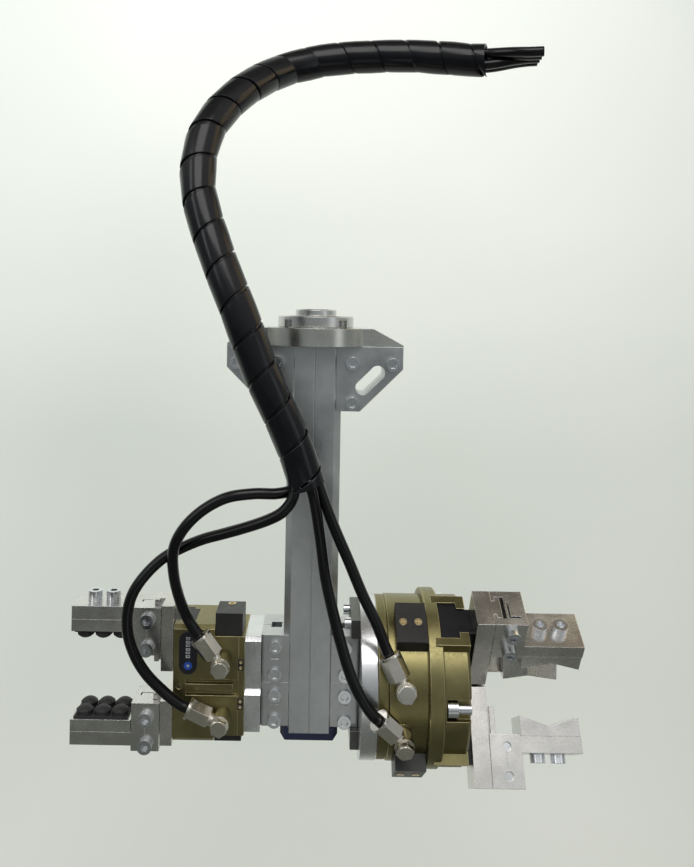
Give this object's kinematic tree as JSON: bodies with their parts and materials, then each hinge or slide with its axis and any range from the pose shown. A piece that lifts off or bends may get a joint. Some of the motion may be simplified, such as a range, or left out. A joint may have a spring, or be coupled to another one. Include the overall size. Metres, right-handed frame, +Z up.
{
  "type": "double pneumatic gripper tool",
  "caption": "Robot end-of-arm tool: a flanged column carrying a two-jaw parallel gripper and a three-jaw centric gripper, with air hoses in a spiral-wrapped bundle.",
  "frame": {"origin": "centre of the tool flange's top face, on the axis of the centring spigot", "axes": "+Z up along the spigot into the robot; +X towards the three-jaw gripper, along both gripper axes; -Y is the side that the air hoses are on"},
  "size_m": [0.379, 0.1558, 0.5775],
  "materials": {
    "polished_aluminium": "turned and polished",
    "machined_aluminium": "milled",
    "column_aluminium": "extruded, satin anodised",
    "cap_plastic": "moulded",
    "dark_plate": "black anodised",
    "zinc_steel": "zinc plated",
    "olive_anodised": "hard anodised, satin",
    "label": "printed",
    "black_plastic": "moulded",
    "brass_screw": "plain",
    "nickel_plated": "nickel plated brass",
    "hardened_steel": "ground",
    "black_steel": "black coated",
    "pad_rubber": "moulded",
    "hose_plastic": "smooth",
    "wrap_plastic": "spiral wrapped"
  },
  "bodies": {
    "frame": {"tool_flange": "polished_aluminium", "flange_plate": "machined_aluminium", "gusset_left": "machined_aluminium", "gusset_right": "machined_aluminium", "column": "column_aluminium", "column_end_cap": "cap_plastic", "clamp_left_upper": "machined_aluminium", "clamp_left_lower": "machined_aluminium", "clamp_right_upper": "machined_aluminium", "clamp_right_lower": "machined_aluminium", "left_adapter_plate": "machined_aluminium", "right_adapter_plate": "dark_plate", "m4_tie_screws": "zinc_steel", "m5_screws": "zinc_steel", "m6_cap_screws": "zinc_steel", "m8_cap_screws": "zinc_steel", "left_housing": "olive_anodised", "left_rear_cover": "olive_anodised", "left_label": "label", "sensor_brackets": "black_plastic", "sensor_screws": "brass_screw", "banjo_bolts": "nickel_plated", "banjo_fittings": "nickel_plated", "right_base_disc": "polished_aluminium", "right_body": "olive_anodised", "right_jaw_guide": "olive_anodised", "hose_a": "hose_plastic", "hose_b": "hose_plastic", "hose_c": "hose_plastic", "hose_d": "hose_plastic", "hose_bundle": "wrap_plastic"},
    "left_upper_jaw": {"left_jaw_upper_base": "black_steel", "left_jaw_upper_rail": "machined_aluminium", "left_jaw_upper_finger": "machined_aluminium", "left_jaw_upper_pad_plate": "machined_aluminium", "left_jaw_upper_pads": "pad_rubber", "left_jaw_upper_screws": "zinc_steel"},
    "left_lower_jaw": {"left_jaw_lower_base": "black_steel", "left_jaw_lower_rail": "machined_aluminium", "left_jaw_lower_finger": "machined_aluminium", "left_jaw_lower_pad_plate": "machined_aluminium", "left_jaw_lower_pads": "pad_rubber", "left_jaw_lower_screws": "zinc_steel"},
    "left_wedge_piston": {"left_piston": "hardened_steel"},
    "right_jaw_1": {"right_jaw_1_base": "black_steel", "right_jaw_1_rail": "machined_aluminium", "right_jaw_1_finger": "machined_aluminium", "right_jaw_1_vee": "machined_aluminium", "right_jaw_1_screws": "zinc_steel"},
    "right_jaw_2": {"right_jaw_2_base": "black_steel", "right_jaw_2_rail": "machined_aluminium", "right_jaw_2_finger": "machined_aluminium", "right_jaw_2_vee": "machined_aluminium", "right_jaw_2_screws": "zinc_steel"},
    "right_jaw_3": {"right_jaw_3_base": "black_steel", "right_jaw_3_rail": "machined_aluminium", "right_jaw_3_finger": "machined_aluminium", "right_jaw_3_vee": "machined_aluminium", "right_jaw_3_screws": "zinc_steel"},
    "right_wedge_piston": {"right_piston": "hardened_steel"}
  },
  "joints": [
    {"name": "left_upper_jaw_slide", "type": "slide", "parent": "frame", "child": "left_upper_jaw", "axis": [0, 0, -1], "range_m": [0, 0.006]},
    {"name": "left_lower_jaw_slide", "type": "slide", "parent": "frame", "child": "left_lower_jaw", "axis": [0, 0, 1], "range_m": [0, 0.006]},
    {"name": "left_piston_slide", "type": "slide", "parent": "frame", "child": "left_wedge_piston", "axis": [1, 0, 0], "range_m": [0, 0.006]},
    {"name": "right_jaw_1_slide", "type": "slide", "parent": "frame", "child": "right_jaw_1", "axis": [0, -0.5, 0.866], "range_m": [0, 0.008]},
    {"name": "right_jaw_2_slide", "type": "slide", "parent": "frame", "child": "right_jaw_2", "axis": [0, -0.5, -0.866], "range_m": [0, 0.008]},
    {"name": "right_jaw_3_slide", "type": "slide", "parent": "frame", "child": "right_jaw_3", "axis": [0, 1, 0], "range_m": [0, 0.008]},
    {"name": "right_piston_slide", "type": "slide", "parent": "frame", "child": "right_wedge_piston", "axis": [1, 0, 0], "range_m": [0, 0.008]}
  ],
  "couplings": [
    {"joint": "left_lower_jaw_slide", "follows": "left_upper_jaw_slide", "ratio": 1},
    {"joint": "left_piston_slide", "follows": "left_upper_jaw_slide", "ratio": 1},
    {"joint": "right_jaw_2_slide", "follows": "right_jaw_1_slide", "ratio": 1},
    {"joint": "right_jaw_3_slide", "follows": "right_jaw_1_slide", "ratio": 1},
    {"joint": "right_piston_slide", "follows": "right_jaw_1_slide", "ratio": 1}
  ]
}
